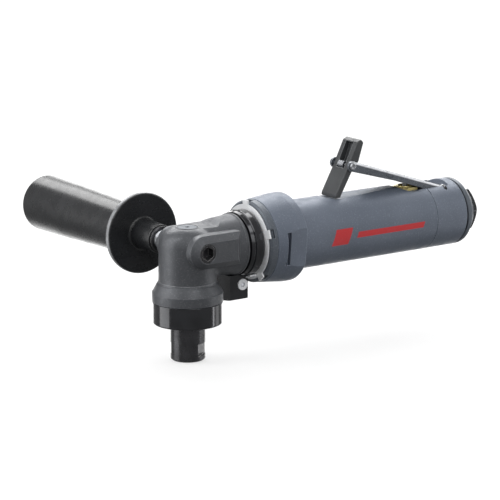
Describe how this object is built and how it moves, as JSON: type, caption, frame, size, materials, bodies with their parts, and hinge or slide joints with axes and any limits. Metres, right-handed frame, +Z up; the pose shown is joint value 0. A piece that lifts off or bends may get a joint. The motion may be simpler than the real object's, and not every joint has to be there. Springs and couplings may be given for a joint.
{
  "type": "die grinder",
  "caption": "Right-angle pneumatic die grinder: lever-throttled air motor, bevel-gear angle head with collet, side handle with guard flange.",
  "frame": {"origin": "mouth of the collet bore, on the spindle axis", "axes": "+Z up along the spindle, away from the collet's mouth; +X along the motor towards the air inlet; +Y towards the side handle"},
  "size_m": [0.2457, 0.1954, 0.1244],
  "materials": {
    "head_cast": "satin dark grey paint on cast aluminium",
    "housing_composite": "satin blue-grey coat on the motor housing",
    "cap_grey": "satin grey",
    "black_gloss": "glossy black",
    "black_oxide": "black oxide",
    "bare_steel": "machined",
    "zinc_steel": "bright zinc plate",
    "bearing_steel": "polished",
    "lever_grey": "satin grey",
    "lock_plastic": "moulded, matt",
    "handle_black": "moulded, soft sheen",
    "brass": "machined",
    "aluminium": "machined",
    "vane_composite": "machined",
    "rubber_black": "moulded",
    "felt": "pressed"
  },
  "bodies": {
    "tool_body": {"bearing_clamp_nut": "black_gloss", "coupling_nut": "head_cast", "exhaust_cap": "cap_grey", "exhaust_muffler": "felt", "front_end_plate": "bare_steel", "handle_grip": "handle_black", "handle_insert": "brass", "handle_stud": "zinc_steel", "handle_washer": "black_oxide", "head_adapter": "bare_steel", "head_housing": "head_cast", "head_top_plug": "cap_grey", "housing_screws": "black_oxide", "inlet_bushing": "black_oxide", "inlet_screen": "brass", "lever_pin": "black_oxide", "motor_clamp_sleeve": "aluminium", "motor_cylinder": "bare_steel", "motor_housing": "housing_composite", "motor_spring_washer": "bare_steel", "neck_clamp_ring": "black_gloss", "neck_clamp_screw": "zinc_steel", "needle_bearing_shell": "bearing_steel", "pinion_bearing_outer_races": "bearing_steel", "pinion_bearing_retainer": "black_oxide", "rear_end_plate": "bare_steel", "rear_gasket": "rubber_black", "rear_housing": "housing_composite", "rotor_bearing_outer_races": "bearing_steel", "side_port_plug": "cap_grey", "spindle_bearing_outer_race": "bearing_steel", "spindle_seal": "felt", "tab_lock_washer": "zinc_steel", "valve_bushing": "brass", "valve_seat": "brass", "valve_spring": "bare_steel", "valve_stem_seal": "rubber_black"},
    "rotor_assembly": {"rotor": "bare_steel", "rotor_vanes": "vane_composite", "drive_coupling": "black_oxide", "bevel_pinion": "bare_steel", "pinion_spacer": "bare_steel", "pinion_lock_nut": "black_oxide", "pinion_bearing_inner_races": "bearing_steel", "pinion_bearing_balls": "bearing_steel", "rotor_bearing_inner_races": "bearing_steel", "rotor_bearing_balls": "bearing_steel"},
    "spindle_assembly": {"spindle": "bare_steel", "bevel_gear": "bare_steel", "gear_retaining_ring": "black_oxide", "spindle_bearing_inner_race": "bearing_steel", "spindle_bearing_balls": "bearing_steel", "needle_rollers": "bearing_steel", "collet": "bare_steel", "collet_nut": "black_oxide"},
    "throttle_lever_assembly": {"throttle_lever": "lever_grey", "lock_lever_pin": "lever_grey"},
    "lock_lever_assembly": {"lock_lever": "lock_plastic", "lock_spring": "bare_steel"},
    "valve_plunger": {"valve_plunger": "bare_steel"}
  },
  "joints": [
    {"name": "rotor_spin", "type": "hinge", "parent": "tool_body", "child": "rotor_assembly", "pos_m": [0, 0, 0.068], "axis": [1, 0, 0], "continuous": true},
    {"name": "spindle_spin", "type": "hinge", "parent": "tool_body", "child": "spindle_assembly", "pos_m": [0, 0, 0], "axis": [0, 0, 1], "continuous": true},
    {"name": "throttle_press", "type": "hinge", "parent": "tool_body", "child": "throttle_lever_assembly", "pos_m": [0.1943, 0, 0.0864], "axis": [0, -1, 0], "range_deg": [0, 6.2], "stiffness_Nm_per_rad": 3, "springref_deg": -5.73},
    {"name": "lock_swing", "type": "hinge", "parent": "throttle_lever_assembly", "child": "lock_lever_assembly", "pos_m": [0.1195, 0, 0.1084], "axis": [0, 1, 0], "range_deg": [0, 55.8]},
    {"name": "valve_press", "type": "slide", "parent": "tool_body", "child": "valve_plunger", "axis": [0, 0, -1], "range_m": [0, 0.0029], "deforming": ["valve_spring"]}
  ],
  "couplings": [
    {"joint": "spindle_spin", "follows": "rotor_spin", "ratio": 0.76471},
    {"joint": "lock_swing", "follows": "throttle_press", "ratio": 9},
    {"joint": "valve_press", "follows": "throttle_press", "m_per_rad": 0.0265}
  ]
}
